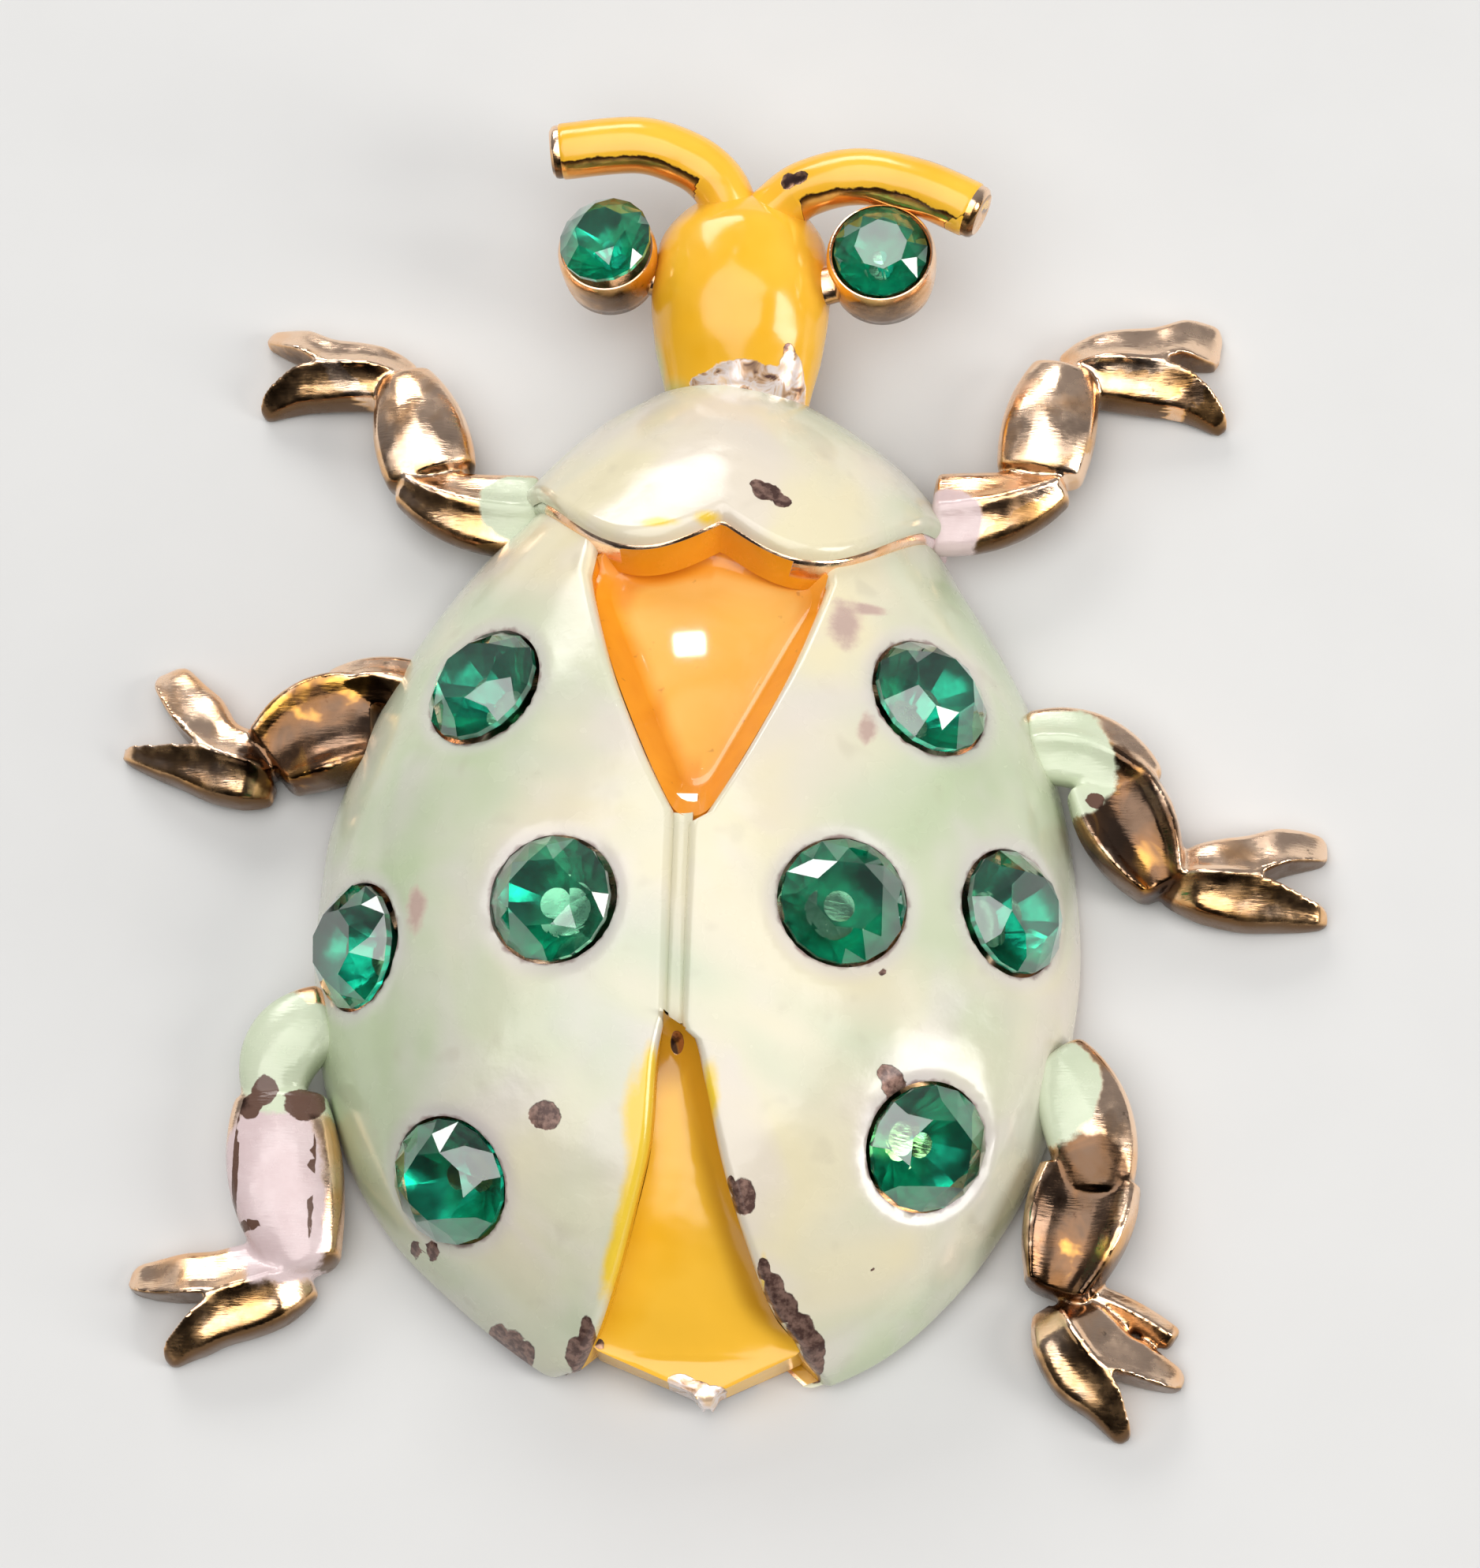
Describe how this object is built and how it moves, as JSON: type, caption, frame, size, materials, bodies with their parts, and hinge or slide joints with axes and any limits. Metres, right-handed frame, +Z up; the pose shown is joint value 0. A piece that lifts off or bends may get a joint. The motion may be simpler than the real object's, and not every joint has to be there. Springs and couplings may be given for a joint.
{
  "type": "insect brooch",
  "caption": "Beetle-shaped brooch: domed, hollow-backed casting with enamel coats, cut stones, forked legs, feelers and a plain pin across the back",
  "frame": {"origin": "on the plane the brooch lies on, below the widest place of the wing covers", "axes": "+X to the right seen from above with the head up, +Y to the head, +Z up out of the cloth"},
  "size_m": [0.0303, 0.0329, 0.0066],
  "materials": {
    "cast_metal": "bright plated, worn",
    "pin_metal": "satin",
    "mint_enamel": "pearly gloss",
    "yellow_enamel": "gloss",
    "orange_enamel": "gloss",
    "green_stone": "foiled, cut"
  },
  "bodies": {
    "root": {"casting": "cast_metal", "wing_enamel_left": "mint_enamel", "wing_enamel_right": "mint_enamel", "collar_enamel": "mint_enamel", "head_enamel": "yellow_enamel", "shield_enamel": "orange_enamel", "tail_enamel": "yellow_enamel", "pin_back": "pin_metal", "stone_front_left": "green_stone", "stone_front_right": "green_stone", "stone_inner_left": "green_stone", "stone_inner_right": "green_stone", "stone_outer_left": "green_stone", "stone_outer_right": "green_stone", "stone_rear_left": "green_stone", "stone_rear_right": "green_stone", "eye_left": "green_stone", "eye_right": "green_stone"}
  },
  "joints": []
}
